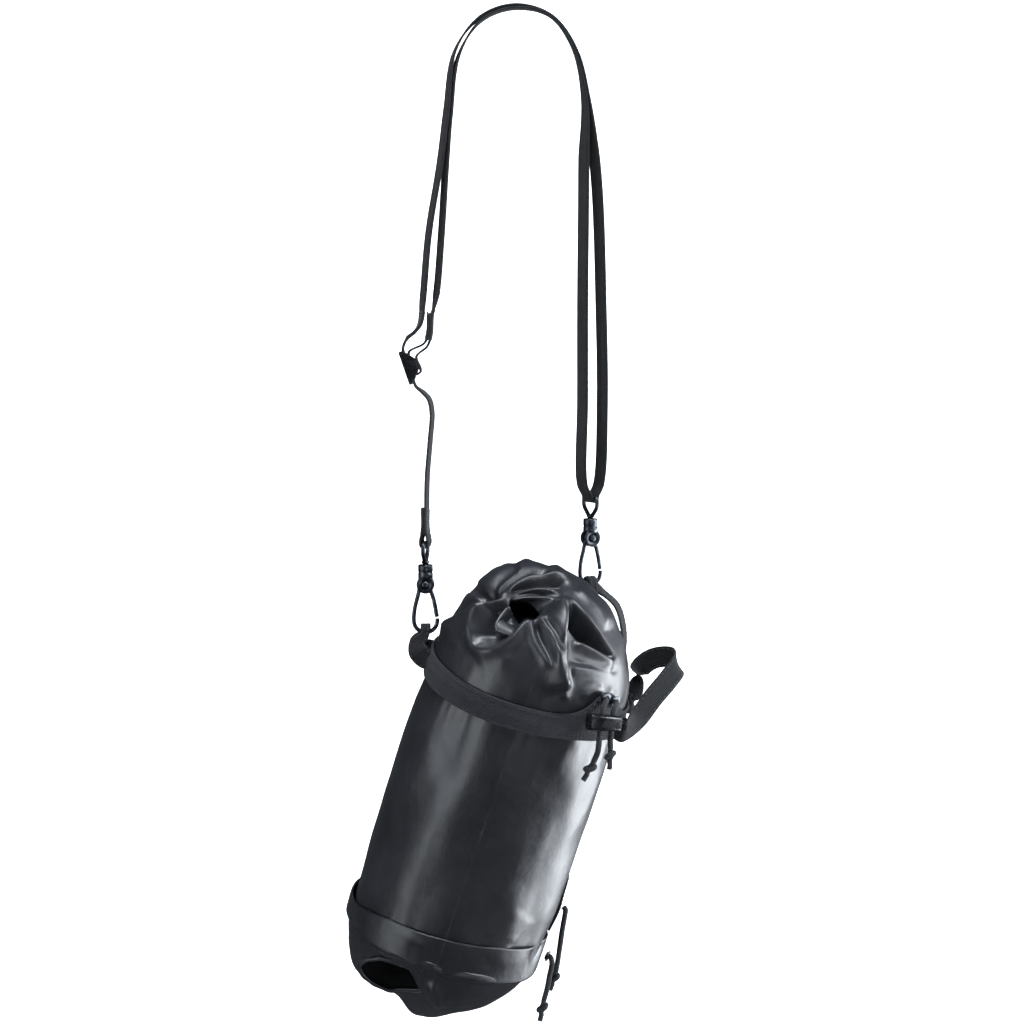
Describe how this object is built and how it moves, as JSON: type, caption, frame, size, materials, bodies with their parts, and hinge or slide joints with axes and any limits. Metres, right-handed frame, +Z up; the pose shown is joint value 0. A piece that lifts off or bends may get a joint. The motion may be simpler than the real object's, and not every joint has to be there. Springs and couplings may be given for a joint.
{
  "type": "rope storage bag",
  "caption": "Cylindrical drawstring rope bag with a gathered collar and lower sleeve, hung from a doubled webbing shoulder strap by two swivel snap hooks.",
  "frame": {"origin": "top of the strap, where it goes over what holds the bag", "axes": "+Z up, +X to the right and +Y to the back of the hanging bag; the bag's own axis leans 18 degrees to +X and 10 degrees to -Y"},
  "size_m": [0.2419, 0.1827, 0.7189],
  "materials": {
    "coated_fabric": "glossy film-coated woven polyester",
    "woven_tape": "matt ribbed tape",
    "webbing": "matt woven polyester webbing",
    "cord": "braided cord",
    "dark_metal": "gunmetal plating",
    "moulded_plastic": "moulded black acetal"
  },
  "bodies": {
    "strap": {"strap_webbing": "webbing", "left_eye": "dark_metal", "right_eye": "dark_metal"},
    "adjuster": {"strap_adjuster": "moulded_plastic"},
    "left_hook": {"left_hook_body": "dark_metal", "left_gate_rivet": "dark_metal", "left_gate_spring": "dark_metal"},
    "left_gate": {"left_gate": "dark_metal"},
    "right_hook": {"right_hook_body": "dark_metal", "right_gate_rivet": "dark_metal", "right_gate_spring": "dark_metal"},
    "right_gate": {"right_gate": "dark_metal"},
    "bag": {"body_panel": "coated_fabric", "base_panel": "coated_fabric", "collar": "coated_fabric", "rim_tape": "woven_tape", "channel_lining": "woven_tape", "rim_drawcord": "cord", "cord_gusset": "woven_tape", "lower_cuff": "coated_fabric", "lower_drawcord": "cord", "lower_sleeve": "coated_fabric", "sleeve_hem": "coated_fabric", "rim_eyelet_1": "dark_metal", "rim_eyelet_2": "dark_metal", "lower_eyelet": "dark_metal", "left_web_tab": "webbing", "back_web_loop": "webbing", "lower_side_loop": "webbing", "rim_cord_tail_1": "cord", "rim_cord_knot_1": "cord", "rim_cord_tail_2": "cord", "rim_cord_knot_2": "cord", "lower_cord_tail_1": "cord", "lower_cord_knot_1": "cord", "lower_cord_tail_2": "cord", "lower_cord_knot_2": "cord"},
    "cord_lock": {"cord_lock_barrel": "moulded_plastic", "cord_lock_spring": "dark_metal"},
    "lock_button": {"cord_lock_button": "moulded_plastic"},
    "handle": {"handle_loop": "webbing"}
  },
  "joints": [
    {"name": "bag_swing", "type": "hinge", "parent": "strap", "child": "bag", "pos_m": [-0.06269, -0.02327, -0.43736], "axis": [0.9097, 0.3522, 0.2202], "range_deg": [-12, 12]},
    {"name": "left_hook_swivel", "type": "hinge", "parent": "strap", "child": "left_hook", "pos_m": [-0.06269, -0.02327, -0.37456], "axis": [0, 0, 1], "range_deg": [-12, 12]},
    {"name": "left_gate_open", "type": "hinge", "parent": "left_hook", "child": "left_gate", "pos_m": [-0.06269, -0.02327, -0.40346], "axis": [0, 1, 0], "range_deg": [0, 20], "stiffness_Nm_per_rad": 0.02, "springref_deg": -28.65},
    {"name": "right_hook_swivel", "type": "hinge", "parent": "strap", "child": "right_hook", "pos_m": [0.05417, 0.02198, -0.34627], "axis": [0, 0, 1], "range_deg": [-7, 7]},
    {"name": "right_gate_open", "type": "hinge", "parent": "right_hook", "child": "right_gate", "pos_m": [0.05417, 0.02198, -0.37517], "axis": [-0.4384, 0.8988, 0], "range_deg": [0, 20], "stiffness_Nm_per_rad": 0.02, "springref_deg": -28.65},
    {"name": "adjuster_slide", "type": "slide", "parent": "strap", "child": "adjuster", "axis": [-0.3223, 0, 0.9466], "range_m": [-0.0035, 0.0035]},
    {"name": "cord_lock_slide", "type": "slide", "parent": "bag", "child": "cord_lock", "axis": [0.1105, 0.0515, 0.9925], "range_m": [-0.006, 0.0015]},
    {"name": "cord_lock_press", "type": "slide", "parent": "cord_lock", "child": "lock_button", "axis": [-0.8996, -0.4195, 0.1219], "range_m": [0, 0.002], "stiffness_N_per_m": 400, "springref_m": -0.001},
    {"name": "handle_fold", "type": "hinge", "parent": "bag", "child": "handle", "pos_m": [0.07553, -0.02718, -0.49612], "axis": [0.153, 0.9699, 0.1892], "range_deg": [-18, 14]}
  ]
}
